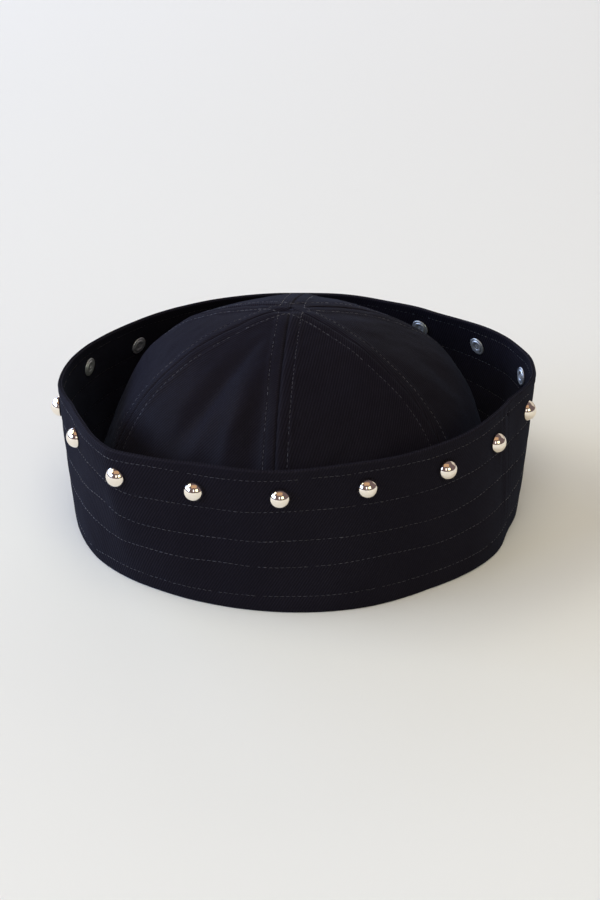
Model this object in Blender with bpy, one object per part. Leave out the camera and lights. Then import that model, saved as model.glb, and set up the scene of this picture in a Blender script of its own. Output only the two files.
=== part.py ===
"""A sailor's cap of dark twill: a crown of six gores, an upturned two-layer brim, and a ring of rivet studs.

Metres, +Z up. The cap stands on the foot of its brim, at z = 0, and -Y is its front. Each piece is drawn about
the middle of the foot ring, and the stand empty then brings the middle of the cap's box over the origin.
"""

import math

import bmesh
import bpy
import numpy as np
from mathutils import Matrix, Vector
from mathutils.bvhtree import BVHTree

# Driving dimensions, in metres.
BRIM_HEIGHT = 0.0655  # along the cloth, from the foot to the rim
BRIM_WALL = 0.0020  # two layers of twill and the turned edge between them
FOOT_ROUND = 0.0009  # how far the lower fold is rounded off
RIM_ROUND = 0.0006
CROWN_RADIUS = 0.0845  # of the dome, across the middles of two opposite gores
CROWN_HEIGHT = 0.0922
CROWN_WALL = 0.0015
FLARE_HEIGHT = 0.0400  # below this the crown widens to meet the brim's foot
CROWN_LIFT = 0.0010  # the gores' lower edge over the ground
DOME_SHOULDER = 3.44  # exponents of the dome's profile: how square its shoulder is, and how pointed its peak
DOME_PEAK = 1.45
APEX_SHIFT = -0.0012  # where the six points meet, to the left of the middle
SIDE_SWAY = 0.0008  # the dome's lean to the right at half height
GAP = 0.0003  # between two pieces that touch on the real cap

# Counts and angles. Azimuth 0 is the front, and it grows towards +X.
SEAMS = (-6.0, 50.0, 116.0, 173.0, 240.0, 290.0)  # the crown's six seams, one gore to the right of each

# Studs: a polished dome with a rivet post outside, a stepped plate inside. They are set by hand, about 37 mm apart.
STUD_COLUMNS = ("azimuth", "below_rim")
STUDS = (
    (-3.1, 0.0121),
    (17.2, 0.0112),
    (39.2, 0.0120),
    (59.3, 0.0124),
    (79.3, 0.0120),
    (99.7, 0.0119),
    (121.1, 0.0112),
    (141.0, 0.0109),
    (163.8, 0.0112),
    (186.5, 0.0116),
    (208.9, 0.0124),
    (231.4, 0.0137),
    (255.0, 0.0104),
    (277.5, 0.0125),
    (297.7, 0.0110),
    (318.6, 0.0119),
    (337.2, 0.0122),
)
STUD_RADIUS = 0.0043
STUD_DOME = 0.0035
POST_RADIUS = 0.0010
BACK_RADIUS = 0.0041
BACK_PLATE = 0.0008
BACK_STEP_RADIUS = 0.0031
BACK_STEP = 0.0003
STUD_LINE = 0.0120  # below the rim, where the ring of studs runs on the whole
STUD_PATCH = 0.0060  # the wall is straight this far above and below that line

TIP_SHARE = 0.985  # a gore's point is cut short by the bulk of the six seams

# How fine the solids are.
RING_STEPS = 102
OUTER_LEVELS = (0.25, 0.50)  # shares of the brim's height between the foot and the studs
INNER_LEVELS = (0.40,)
GORE_COLUMNS = 10
GORE_ROWS = 10
STUD_SIDES = 12
HOLE_SIDES = 8

# The brim's plan, read off the cap as it lies: the foot's and the rim's outer radius at each azimuth, and how far
# the wall between them bellies out. The left front has a soft corner, and the back leans inwards.
BRIM_COLUMNS = ("azimuth", "foot", "rim", "belly")
BRIM_PLAN = (
    (6, 0.0982, 0.0995, 0.0000),
    (17, 0.0985, 0.0979, 0.0000),
    (35, 0.0971, 0.0976, 0.0000),
    (50, 0.0987, 0.0972, 0.0000),
    (60, 0.0994, 0.0970, 0.0000),
    (69, 0.0993, 0.0973, 0.0000),
    (77, 0.0990, 0.1007, 0.0000),
    (86, 0.0990, 0.1048, 0.0000),
    (97, 0.0990, 0.1050, 0.0010),
    (108, 0.0985, 0.1022, 0.0030),
    (120, 0.0980, 0.0968, 0.0050),
    (134, 0.0976, 0.0918, 0.0055),
    (150, 0.0976, 0.0903, 0.0055),
    (180, 0.0976, 0.0894, 0.0050),
    (213, 0.0976, 0.0891, 0.0040),
    (233, 0.0976, 0.0908, 0.0030),
    (250, 0.0978, 0.0938, 0.0020),
    (265, 0.0980, 0.0990, 0.0004),
    (280, 0.0973, 0.1026, 0.0004),
    (292, 0.0979, 0.1012, 0.0000),
    (303, 0.0991, 0.1042, 0.0000),
    (310, 0.0990, 0.1071, 0.0000),
    (317, 0.0986, 0.1096, 0.0008),
    (325, 0.0978, 0.1067, 0.0015),
    (337, 0.0976, 0.1018, 0.0010),
    (349, 0.0976, 0.1027, 0.0000),
)
PLAN_SMOOTHING = 3  # degrees each way

# The crown's soft folds: a dent runs from one (azimuth, share of the way up) to another.
FOLD_COLUMNS = ("azimuth_low", "share_low", "azimuth_high", "share_high", "half_width", "depth")
FOLDS = (
    (-42, 0.22, -29, 0.92, 0.0075, 0.0040),
    (-24, 0.28, -19, 0.86, 0.0045, -0.0016),
    (-15, 0.15, -12, 0.80, 0.0050, 0.0018),
    (76, 0.25, 88, 0.82, 0.0110, 0.0022),
    (-96, 0.25, -88, 0.75, 0.0140, 0.0020),
    (150, 0.25, 146, 0.80, 0.0130, 0.0025),
    (-150, 0.20, -140, 0.75, 0.0120, 0.0022),
)

GORE_WIDTHS = [(right - left) % 360 for left, right in zip(SEAMS, SEAMS[1:] + SEAMS[:1], strict=True)]

FLAT_DEPTH = math.cos(math.pi / len(SEAMS))  # a flat facet's middle against its seams, on even gores

# Flatness of a gore between its two seams, from the foot to the peak: 0 is round, 1 is a flat facet.
FLATNESS_AT = (0.0, 0.3, 0.6, 0.9, 1.0)
FLATNESS = (0.0, 0.20, 0.25, 0.45, 0.60)

CLOTH_COLOUR = (0.016, 0.017, 0.030, 1.0)
STUD_COLOUR = (0.92, 0.84, 0.70, 1.0)
BACK_COLOUR = (0.62, 0.64, 0.68, 1.0)


def clear_scene():
    for old in list(bpy.data.objects):
        bpy.data.objects.remove(old, do_unlink=True)


def material(name, colour, roughness, metallic=0.0):
    made = bpy.data.materials.new(name)
    made.use_nodes = True
    shader = made.node_tree.nodes["Principled BSDF"]
    shader.inputs["Base Color"].default_value = colour
    shader.inputs["Roughness"].default_value = roughness
    shader.inputs["Metallic"].default_value = metallic
    return made


def add_object(name, mesh, finish, stand):
    """A new object that shows the mesh, riding on the stand."""
    if not mesh.materials:
        mesh.materials.append(finish)
    made = bpy.data.objects.new(name, mesh)
    bpy.context.scene.collection.objects.link(made)
    made.parent = stand
    return made


def smooth_mesh(name, shape):
    """Turns a bmesh into a mesh that is shaded smooth up to 40 degrees."""
    bmesh.ops.recalc_face_normals(shape, faces=shape.faces)
    mesh = bpy.data.meshes.new(name)
    shape.to_mesh(mesh)
    shape.free()
    mesh.shade_smooth()
    mesh.set_sharp_from_angle(angle=math.radians(40))
    return mesh


def smoothed_plan():
    """The brim's plan at each whole degree, with its corners eased."""
    degrees = np.arange(360)
    rows = np.array(BRIM_PLAN)
    ease = np.hanning(2 * PLAN_SMOOTHING + 3)[1:-1]
    plan = {}
    for place, column in enumerate(BRIM_COLUMNS[1:], start=1):
        line = np.interp(degrees, rows[:, 0], rows[:, place], period=360)
        around = np.concatenate([line[-PLAN_SMOOTHING:], line, line[:PLAN_SMOOTHING]])
        plan[column] = np.convolve(around, ease / ease.sum(), mode="valid")
    return plan


PLAN = smoothed_plan()


def plan_at(azimuth, column):
    return float(np.interp(azimuth % 360, np.arange(361), np.append(PLAN[column], PLAN[column][0])))


def outward(azimuth):
    turn = math.radians(azimuth)
    return Vector((math.sin(turn), -math.cos(turn), 0.0))


def brim_point(azimuth, up, inward=0.0):
    """A point of the brim: how far up the cloth from the foot, and how far in from the outer face."""
    foot, rim, belly = (plan_at(azimuth, column) for column in BRIM_COLUMNS[1:])
    share = up / BRIM_HEIGHT
    lean = math.asin((rim - foot) / BRIM_HEIGHT)
    bulge = 4 * share * (1 - share)
    tilt = lean * min(1.0, 3 * max(share, 0.0))
    radius = foot + (rim - foot) * share + belly * bulge - inward * math.cos(tilt)
    return outward(azimuth) * radius + Vector((0, 0, up * math.cos(lean) + inward * math.sin(tilt)))


def stud_frame(azimuth, below_rim):
    """A matrix on the outer face at a stud: its Z axis leaves the wall there, and its Y axis runs up the cloth."""
    step = 0.5
    up = BRIM_HEIGHT - below_rim
    along = brim_point(azimuth + step, up) - brim_point(azimuth - step, up)
    rise = brim_point(azimuth, up + 0.002) - brim_point(azimuth, up - 0.002)
    normal = along.cross(rise).normalized()
    rise = rise.normalized()
    across = rise.cross(normal).normalized()
    rise = normal.cross(across)
    turned = Matrix((across, rise, normal)).transposed().to_4x4()
    return Matrix.Translation(brim_point(azimuth, up)) @ turned


def seat(wall, frame, side, radius):
    """How far a flat disc stands off the wall to clear it everywhere. side is 1 outside the brim, -1 inside."""
    reach = 2 * BRIM_WALL
    heights = []
    for share in (0.0, 0.5, 1.0):
        for turn in range(0, 360, 30):
            across = Vector((math.cos(math.radians(turn)), math.sin(math.radians(turn)), 0)) * radius * share
            start = frame @ (across + Vector((0, 0, side * reach)))
            hit = wall.ray_cast(start, frame.to_3x3() @ Vector((0, 0, -side)), 2 * reach)[0]
            heights.append(side * (frame.inverted() @ hit).z)
    return GAP + max(heights)


def brim_solid():
    """The brim as a closed ring: its section is spun about the cap's middle, then leant and bellied."""
    top = BRIM_HEIGHT
    stud_line = top - STUD_LINE
    section = (
        (0.0, FOOT_ROUND),
        (FOOT_ROUND, 0.0),
        *((level * top, 0.0) for level in OUTER_LEVELS),
        (stud_line - STUD_PATCH, 0.0),
        (stud_line + STUD_PATCH, 0.0),
        (top - RIM_ROUND, 0.0),
        (top, RIM_ROUND),
        (top, BRIM_WALL - RIM_ROUND),
        (top - RIM_ROUND, BRIM_WALL),
        (stud_line + STUD_PATCH, BRIM_WALL),
        (stud_line - STUD_PATCH, BRIM_WALL),
        *((level * top, BRIM_WALL) for level in INNER_LEVELS),
        (0.0, BRIM_WALL),
    )
    nominal = plan_at(0, "foot")
    shape = bmesh.new()
    corners = [shape.verts.new((0, inward - nominal, up)) for up, inward in section]
    edges = [shape.edges.new((corners[i - 1], corners[i])) for i in range(len(corners))]
    bmesh.ops.spin(
        shape,
        geom=corners + edges,
        axis=(0, 0, 1),
        angle=2 * math.pi,
        steps=RING_STEPS,
        use_merge=True,
    )
    for vertex in shape.verts:
        azimuth = math.degrees(math.atan2(vertex.co.x, -vertex.co.y))
        inward = nominal - vertex.co.xy.length
        vertex.co = brim_point(azimuth, vertex.co.z, inward)
        if vertex.co.z < FOOT_ROUND / 2:
            vertex.co.z = 0.0
    return smooth_mesh("brim", shape)


def foot_flare(azimuth, height):
    """How far the crown widens at this height to meet the inside of the brim's foot."""
    foot = plan_at(azimuth, "foot") - BRIM_WALL - GAP
    fade = np.clip(1 - height / FLARE_HEIGHT, 0, 1) ** 2
    return (foot - CROWN_RADIUS) * fade


def dome_profile(inward, samples=400):
    """The crown's profile from foot to peak, by length: rows of radius and height, moved in by inward."""
    turn = np.linspace(0, math.pi / 2, samples)
    share = np.sin(turn) ** (2 / DOME_SHOULDER)
    radius = CROWN_RADIUS * np.cos(turn) ** (2 / DOME_PEAK)
    height = share * CROWN_HEIGHT
    line = np.stack([radius + foot_flare(SEAMS[0], height), height], axis=1)
    steps = np.linalg.norm(np.diff(line, axis=0), axis=1)
    length = np.append(0.0, np.cumsum(steps))
    even = np.linspace(0, length[-1], samples)
    line = np.stack([np.interp(even, length, line[:, k]) for k in (0, 1)], axis=1)
    slope = np.gradient(line, axis=0)
    slope /= np.linalg.norm(slope, axis=1)[:, None]
    return line + inward * np.stack([-slope[:, 1], slope[:, 0]], axis=1)


PROFILES = {inward: dome_profile(inward) for inward in (0.0, CROWN_WALL)}


def fold_depth(azimuth, share, radius):
    """How deep the folds press the cloth in at this place, by the table of folds."""
    depth = 0.0
    for row in FOLDS:
        fold = dict(zip(FOLD_COLUMNS, row, strict=True))
        along = (share - fold["share_low"]) / (fold["share_high"] - fold["share_low"])
        if not 0 < along < 1:
            continue
        middle = fold["azimuth_low"] + along * (fold["azimuth_high"] - fold["azimuth_low"])
        off = (azimuth - middle + 180) % 360 - 180
        across = math.radians(off) * radius / fold["half_width"]
        depth += fold["depth"] * math.sin(math.pi * along) ** 2 * math.exp(-across * across)
    return depth


def gore_place(azimuth):
    """Half the width of the gore at this azimuth, and how far it is from the gore's middle, in degrees."""
    for left, width in zip(SEAMS, GORE_WIDTHS, strict=True):
        across = (azimuth - left) % 360
        if across <= width:
            return width / 2, across - width / 2
    return width / 2, width / 2


def crown_point(azimuth, share, inward=0.0, aside=0.0):
    """A point of the crown: share of the way up a gore, and how far in from the outer face. aside moves it sideways."""
    profile = PROFILES[inward]
    place = share * (len(profile) - 1)
    radius, height = (float(np.interp(place, np.arange(len(profile)), profile[:, k])) for k in (0, 1))
    half, off_middle = gore_place(azimuth)
    flatness = float(np.interp(share, FLATNESS_AT, FLATNESS))
    flat = math.cos(math.radians(half)) / math.cos(math.radians(off_middle))
    radius *= (1 - flatness * (1 - flat)) / (1 - flatness * (1 - FLAT_DEPTH))
    radius += float(foot_flare(azimuth, height) - foot_flare(SEAMS[0], height))
    radius -= fold_depth(azimuth, share, radius)
    up = height / CROWN_HEIGHT
    sway = APEX_SHIFT * up * up + SIDE_SWAY * math.sin(math.pi * min(max(up, 0.0), 1.0))
    sideways = outward(azimuth + 90) * aside
    return outward(azimuth) * radius + sideways + Vector((sway, 0, max(height, 0.0) + CROWN_LIFT))


def gore_solid(number):
    """One gore: a grid of cloth between two seams, extruded inwards to its thickness."""
    left_seam, width = SEAMS[number], GORE_WIDTHS[number]
    shape = bmesh.new()
    bmesh.ops.create_grid(shape, x_segments=GORE_COLUMNS, y_segments=GORE_ROWS, size=0.5)
    places = {vertex: (vertex.co.x + 0.5, (vertex.co.y + 0.5) * TIP_SHARE) for vertex in shape.verts}
    grown = bmesh.ops.extrude_face_region(shape, geom=list(shape.faces), use_keep_orig=True)
    inner = {item for item in grown["geom"] if isinstance(item, bmesh.types.BMVert)}
    for vertex in inner:
        places[vertex] = (vertex.co.x + 0.5, (vertex.co.y + 0.5) * TIP_SHARE)
    for vertex, (across, share) in places.items():
        azimuth = left_seam + width * across
        aside = GAP / 2 * (1 - 2 * across)
        inward = CROWN_WALL if vertex in inner else 0.0
        vertex.co = crown_point(azimuth, share, inward, aside)
    return smooth_mesh(f"gore_{number + 1}", shape)


def turned(name, section, sides):
    """A round piece: the section (radius, height) spun about +Z, closed where it meets the axis."""
    shape = bmesh.new()
    corners = [shape.verts.new((radius, 0, height)) for radius, height in section]
    edges = [shape.edges.new(pair) for pair in zip(corners, corners[1:])]
    bmesh.ops.spin(
        shape,
        geom=corners + edges,
        axis=(0, 0, 1),
        angle=2 * math.pi,
        steps=sides,
        use_merge=True,
    )
    bmesh.ops.remove_doubles(shape, verts=shape.verts, dist=1e-6)
    return smooth_mesh(name, shape)


def stud_cap_mesh():
    """The dome with its post. Its underside is at z = 0, and the post reaches to the back plate."""
    post = BRIM_WALL + GAP
    arc = [math.radians(turn) for turn in (12, 35, 60, 90)]
    dome = [(STUD_RADIUS * math.cos(turn), STUD_DOME * math.sin(turn)) for turn in arc[:-1]]
    section = [(0, -post), (POST_RADIUS, -post), (POST_RADIUS, 0), (STUD_RADIUS, 0)]
    return turned("stud_cap", section + dome + [(0, STUD_DOME)], STUD_SIDES)


def stud_back_mesh():
    """The plate inside the brim, with its raised ring. Its flat side is at z = 0, and it faces -Z."""
    section = (
        (0, 0),
        (BACK_RADIUS, 0),
        (BACK_RADIUS, -BACK_PLATE * 0.7),
        (BACK_STEP_RADIUS, -BACK_PLATE),
        (BACK_STEP_RADIUS * 0.9, BACK_STEP - BACK_PLATE),
        (0, BACK_STEP - BACK_PLATE),
    )
    return turned("stud_back", section, STUD_SIDES)


def rivet_hole_cutter(stand):
    """One helper with a short bar for each rivet hole."""
    shape = bmesh.new()
    for row in STUDS:
        frame = stud_frame(**dict(zip(STUD_COLUMNS, row, strict=True)))
        bmesh.ops.create_cone(
            shape,
            cap_ends=True,
            segments=HOLE_SIDES,
            radius1=POST_RADIUS + GAP,
            radius2=POST_RADIUS + GAP,
            depth=3 * BRIM_WALL,
            matrix=frame,
        )
    cutter = add_object("rivet_holes", smooth_mesh("rivet_holes", shape), None, stand)
    cutter.hide_render = True
    cutter.display_type = "WIRE"
    return cutter


def add_studs(brim_mesh, stand):
    polished = material("polished_stud", STUD_COLOUR, 0.12, 1.0)
    steel = material("stud_back_steel", BACK_COLOUR, 0.3, 1.0)
    cap_mesh = stud_cap_mesh()
    back_mesh = stud_back_mesh()
    faces = [face.vertices for face in brim_mesh.polygons]
    wall = BVHTree.FromPolygons([vertex.co for vertex in brim_mesh.vertices], faces)
    for number, row in enumerate(STUDS, start=1):
        outer_face = stud_frame(**dict(zip(STUD_COLUMNS, row, strict=True)))
        inner_face = outer_face @ Matrix.Translation((0, 0, -BRIM_WALL))
        outside = seat(wall, outer_face, 1, STUD_RADIUS)
        inside = seat(wall, inner_face, -1, BACK_RADIUS)
        cap = add_object(f"stud_cap_{number:02d}", cap_mesh, polished, stand)
        cap.matrix_local = outer_face @ Matrix.Translation((0, 0, outside))
        back = add_object(f"stud_back_{number:02d}", back_mesh, steel, stand)
        back.matrix_local = inner_face @ Matrix.Translation((0, 0, -inside))


def centre_over_origin(stand):
    """Moves the stand so that the middle of the cap's box is over the origin."""
    bpy.context.view_layer.update()
    graph = bpy.context.evaluated_depsgraph_get()
    places = []
    for part in stand.children:
        if part.hide_render:
            continue
        solid = part.evaluated_get(graph)
        places += [part.matrix_world @ vertex.co for vertex in solid.data.vertices]
    for axis in (0, 1):
        values = [place[axis] for place in places]
        stand.location[axis] -= (max(values) + min(values)) / 2
    bpy.context.view_layer.update()


def build_cap():
    clear_scene()
    stand = bpy.data.objects.new("stand", None)
    bpy.context.scene.collection.objects.link(stand)
    twill = material("dark_twill", CLOTH_COLOUR, 0.85)
    for number in range(len(SEAMS)):
        mesh = gore_solid(number)
        add_object(mesh.name, mesh, twill, stand)
    brim_mesh = brim_solid()
    brim = add_object("brim", brim_mesh, twill, stand)
    holes = brim.modifiers.new("rivet holes", "BOOLEAN")
    holes.operation = "DIFFERENCE"
    holes.solver = "EXACT"
    holes.object = rivet_hole_cutter(stand)
    add_studs(brim_mesh, stand)
    centre_over_origin(stand)


build_cap()
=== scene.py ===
# %% [markdown]
# # A sailor's cap of dark twill
#
# The cap has a crown of six pointed gores and a two-layer brim that stands up around it. Rows of
# topstitching hold the brim's two layers together, and seventeen rivet studs run round it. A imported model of
# plain solids gives every size and place. This lesson puts real cloth, thread and metal on those places.

# %% Load the frame
import math

import bmesh
import bpy
import numpy as np
from mathutils import Matrix, Vector


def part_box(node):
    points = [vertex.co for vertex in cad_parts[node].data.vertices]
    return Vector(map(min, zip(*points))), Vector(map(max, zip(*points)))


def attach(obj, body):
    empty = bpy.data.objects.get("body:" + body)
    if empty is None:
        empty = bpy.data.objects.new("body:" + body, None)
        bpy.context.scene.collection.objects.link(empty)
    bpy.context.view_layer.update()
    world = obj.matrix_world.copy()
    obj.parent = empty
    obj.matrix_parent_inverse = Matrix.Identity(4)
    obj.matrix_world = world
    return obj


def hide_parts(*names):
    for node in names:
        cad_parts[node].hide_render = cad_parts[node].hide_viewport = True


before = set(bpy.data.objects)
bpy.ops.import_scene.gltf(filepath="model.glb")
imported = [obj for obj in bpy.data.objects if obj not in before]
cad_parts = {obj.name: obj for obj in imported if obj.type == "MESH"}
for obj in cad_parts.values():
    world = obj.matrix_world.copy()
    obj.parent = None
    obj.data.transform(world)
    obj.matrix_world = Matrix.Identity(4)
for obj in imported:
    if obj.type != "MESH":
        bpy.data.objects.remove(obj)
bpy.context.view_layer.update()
MM = 0.001

# %% [markdown]
# ## The brim's sizes
#
# The brim is a band of cloth. A place on it is given by an azimuth, a height up the cloth and a depth into
# it. Azimuth 0 is the front, and it grows towards +X. A table gives the radius of the foot and of the rim,
# since a soft brim is never a true cone. The solids were drawn from the same table, so the cloth lies where
# they are.

# %% Sizes of the brim
BRIM_HEIGHT = 65.5 * MM
BRIM_WALL = 2.0 * MM
LEAN_SHARE = 1 / 3  # of the height: from there up the wall has its full lean
BRIM_PLAN = (  # azimuth, radius of the foot, radius of the rim, how far the wall bellies out
    (6, 0.0982, 0.0995, 0.0000),
    (17, 0.0985, 0.0979, 0.0000),
    (35, 0.0971, 0.0976, 0.0000),
    (50, 0.0987, 0.0972, 0.0000),
    (60, 0.0994, 0.0970, 0.0000),
    (69, 0.0993, 0.0973, 0.0000),
    (77, 0.0990, 0.1007, 0.0000),
    (86, 0.0990, 0.1048, 0.0000),
    (97, 0.0990, 0.1050, 0.0010),
    (108, 0.0985, 0.1022, 0.0030),
    (120, 0.0980, 0.0968, 0.0050),
    (134, 0.0976, 0.0918, 0.0055),
    (150, 0.0976, 0.0903, 0.0055),
    (180, 0.0976, 0.0894, 0.0050),
    (213, 0.0976, 0.0891, 0.0040),
    (233, 0.0976, 0.0908, 0.0030),
    (250, 0.0978, 0.0938, 0.0020),
    (265, 0.0980, 0.0990, 0.0004),
    (280, 0.0973, 0.1026, 0.0004),
    (292, 0.0979, 0.1012, 0.0000),
    (303, 0.0991, 0.1042, 0.0000),
    (310, 0.0990, 0.1071, 0.0000),
    (317, 0.0986, 0.1096, 0.0008),
    (325, 0.0978, 0.1067, 0.0015),
    (337, 0.0976, 0.1018, 0.0010),
    (349, 0.0976, 0.1027, 0.0000),
)
PLAN_SMOOTHING = 3  # degrees each way


def eased(azimuths, values, reach):
    """A table's values at each whole degree around the cap, with its corners eased."""
    line = np.interp(np.arange(360), azimuths, values, period=360)
    weights = np.hanning(2 * reach + 3)[1:-1]
    ring = np.concatenate([line[-reach:], line, line[:reach]])
    smooth = np.convolve(ring, weights / weights.sum(), mode="valid")
    return np.append(smooth, smooth[0])


PLAN_AZIMUTHS, *PLAN_COLUMNS = np.array(BRIM_PLAN).T
FOOT_PLAN, RIM_PLAN, BELLY_PLAN = (eased(PLAN_AZIMUTHS, column, PLAN_SMOOTHING) for column in PLAN_COLUMNS)


# %% Points of the brim
def around(azimuth, plan):
    return np.interp(np.asarray(azimuth) % 360, np.arange(361), plan)


def outward(azimuth):
    turn = np.radians(azimuth)
    return np.stack([np.sin(turn), -np.cos(turn), np.zeros_like(turn)], axis=-1)


def brim_points(azimuth, up, inward=0.0):
    """Points of the brim, by how far up the cloth they are and how far in from its outer face."""
    azimuth, up, inward = np.broadcast_arrays(azimuth, up, inward)
    foot, rim, belly = (around(azimuth, plan) for plan in (FOOT_PLAN, RIM_PLAN, BELLY_PLAN))
    share = up / BRIM_HEIGHT
    lean = np.arcsin((rim - foot) / BRIM_HEIGHT)
    tilt = lean * np.clip(share / LEAN_SHARE, 0, 1)
    bellied = belly * 4 * share * (1 - share)
    radius = foot + (rim - foot) * share + bellied - inward * np.cos(tilt)
    points = outward(azimuth) * radius[..., None]
    points[..., 2] = up * np.cos(lean) + inward * np.sin(tilt)
    return points


fine_wall = brim_points(np.arange(0, 360, 0.5)[:, None], np.linspace(0, BRIM_HEIGHT, 12))
low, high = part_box("brim")
SHIFT = (np.array(low + high) - fine_wall.min((0, 1)) - fine_wall.max((0, 1))) / 2
SHIFT[2] = 0.0
print("the cap's middle stands at", SHIFT / MM, "mm")

# %% [markdown]
# ## Soft changes of shape
#
# Cloth is never perfectly even. A simulation could bend it, but a stiff cap keeps its bends, and those are
# easier to put in place one by one. Crossed waves with seeded directions give ripples that are the same on
# every run. Three small curves, a bump, a half wave and a soft step, shape all the rest.

# %% Small curves
WAVE_SIZES = (0.7, 1.6)  # smallest and largest, against the size asked for
WAVE_HEIGHT = 1.4


def ripples(across, up, size, seed, waves=14):
    """Gentle crossed waves of about the given size, mostly from -1 to 1."""
    chance = np.random.default_rng(seed)
    total = np.zeros(np.broadcast(across, up).shape)
    for _ in range(waves):
        heading = chance.uniform(0, math.pi)
        rate = 2 * math.pi / (size * chance.uniform(*WAVE_SIZES))
        start = chance.uniform(0, 2 * math.pi)
        total += np.sin(rate * (across * math.cos(heading) + up * math.sin(heading)) + start)
    return total * WAVE_HEIGHT / math.sqrt(waves)


def bump(distance, half_width):
    """1 at the middle of a line and 0 well away from it."""
    return np.exp(-((distance / half_width) ** 2))


def pressed(distance, depth, half_width):
    """How deep the cloth is pressed in beside a line or a spot."""
    return depth * bump(distance, half_width)


def half_wave(share):
    """0 at both ends of a stretch and 1 halfway."""
    return np.sin(np.pi * np.clip(share, 0, 1))


def soft_step(value, low, high):
    """0 up to low and 1 from high on."""
    share = np.clip((value - low) / (high - low), 0, 1)
    return share * share * (3 - 2 * share)


def turn_from(middle, azimuth):
    """The shorter way round to an azimuth, in degrees."""
    return (azimuth - middle + 180) % 360 - 180


def lengths_along(line):
    """How far along a line of points each of them is."""
    return np.append(0.0, np.cumsum(np.linalg.norm(np.diff(line, axis=0), axis=1)))


def unit(ways):
    return ways / np.linalg.norm(ways, axis=1)[:, None]


# %% [markdown]
# ## The bends of the brim's wall
#
# A seam on the right closes the band, and lengths round it are counted from there. Gentle ripples leave the
# wall's foot, its rim and that seam alone. The larger bends from wear are a table. Both move the whole wall,
# so its two faces stay together.

# %% Ripples and bends of the wall
JOINING_SEAM = 67.0  # azimuth
SEAM_HOLD = (0.5 * MM, 5 * MM)  # how near that seam the cloth is held still, and where it is free
RING_STEPS = 4 * 360
SWAY_FULLNESS = 0.5
WALL_RIPPLES = (  # size of the waves, their depth, what share of a height counts, seed
    (34 * MM, 0.20 * MM, 0.6, 41),
    (12 * MM, 0.04 * MM, 1.0, 42),
)
BRIM_BENDS = (  # azimuth, height, half width, half height, and how deep the wall is pushed in there
    (72, 3 * MM, 13 * MM, 9 * MM, 1.9 * MM),
    (91, 13 * MM, 13 * MM, 10 * MM, -1.0 * MM),
    (80, 33 * MM, 16 * MM, 12 * MM, -0.8 * MM),
    (2, 0 * MM, 40 * MM, 9 * MM, -0.8 * MM),
)
RING = np.linspace(JOINING_SEAM, JOINING_SEAM + 360, RING_STEPS + 1)
RING_LENGTHS = lengths_along(brim_points(RING, BRIM_HEIGHT / 2))
BAND_LENGTH = RING_LENGTHS[-1]


def band_place(azimuth):
    """How far round the band an azimuth is, in metres from the joining seam."""
    return np.interp(JOINING_SEAM + (azimuth - JOINING_SEAM) % 360, RING, RING_LENGTHS)


def from_joining_seam(along):
    return np.minimum(along, BAND_LENGTH - along)


def rippled(across, up, table):
    """All the ripples of a table together."""
    return sum(ripples(across, up * drawn, size, seed) * depth for size, depth, drawn, seed in table)


def wall_sway(azimuth, up):
    """How far in the whole wall leans at each place."""
    along = band_place(azimuth)
    free = soft_step(from_joining_seam(along), *SEAM_HOLD) * half_wave(up / BRIM_HEIGHT) ** SWAY_FULLNESS
    sway = rippled(along, up, WALL_RIPPLES) * free
    for middle, height, half_width, half_height, deepest in BRIM_BENDS:
        aside = np.radians(turn_from(middle, azimuth)) * around(azimuth, FOOT_PLAN)
        sway = sway + deepest * bump(aside, half_width) * bump(up - height, half_height)
    return sway


def wall_points(azimuth, up, inward):
    """Points of the brim with its soft bends."""
    return brim_points(azimuth, up, inward + wall_sway(azimuth, up))


print(f"the band is {BAND_LENGTH / MM:.0f} mm round")

# %% [markdown]
# ## The crown's sizes
#
# The crown is sewn from six gores, whose seams lie at unequal azimuths. A profile from foot to peak gives
# the dome, and near its foot the dome widens to meet the brim. Between two seams a gore is a little flatter,
# as cloth pulled between two seams is. Soft folds from wear are rows of a table: where each begins and ends,
# how wide it is and how deep.

# %% The dome's profile
CROWN_RADIUS = 84.5 * MM
CROWN_HEIGHT = 92.2 * MM
CROWN_WALL = 1.5 * MM
FLARE_HEIGHT = 40.0 * MM  # below this the crown widens towards the brim
DOME_SHOULDER, DOME_PEAK = 3.44, 1.45  # exponents of the profile: a square shoulder and a pointed peak
GAP = 0.3 * MM  # between two pieces that touch on the real cap
SEAMS = (-6.0, 50.0, 116.0, 173.0, 240.0, 290.0)
PROFILE_SAMPLES = 400


def foot_flare(azimuth, height):
    foot = around(azimuth, FOOT_PLAN) - BRIM_WALL - GAP
    return (foot - CROWN_RADIUS) * np.clip(1 - height / FLARE_HEIGHT, 0, 1) ** 2


def dome_profile():
    """Radius, height and inward direction of the dome, evenly spaced by length from foot to peak."""
    turn = np.linspace(0, math.pi / 2, PROFILE_SAMPLES)
    height = np.sin(turn) ** (2 / DOME_SHOULDER) * CROWN_HEIGHT
    radius = CROWN_RADIUS * np.cos(turn) ** (2 / DOME_PEAK) + foot_flare(SEAMS[0], height)
    line = np.stack([radius, height], axis=1)
    lengths = lengths_along(line)
    even = np.linspace(0, lengths[-1], PROFILE_SAMPLES)
    line = np.stack([np.interp(even, lengths, line[:, k]) for k in (0, 1)], axis=1)
    slope = unit(np.gradient(line, axis=0))
    return line, np.stack([-slope[:, 1], slope[:, 0]], axis=1), lengths[-1]


PROFILE, PROFILE_INWARD, GORE_LENGTH = dome_profile()
print(f"a gore is {GORE_LENGTH / MM:.1f} mm from foot to peak")

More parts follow.
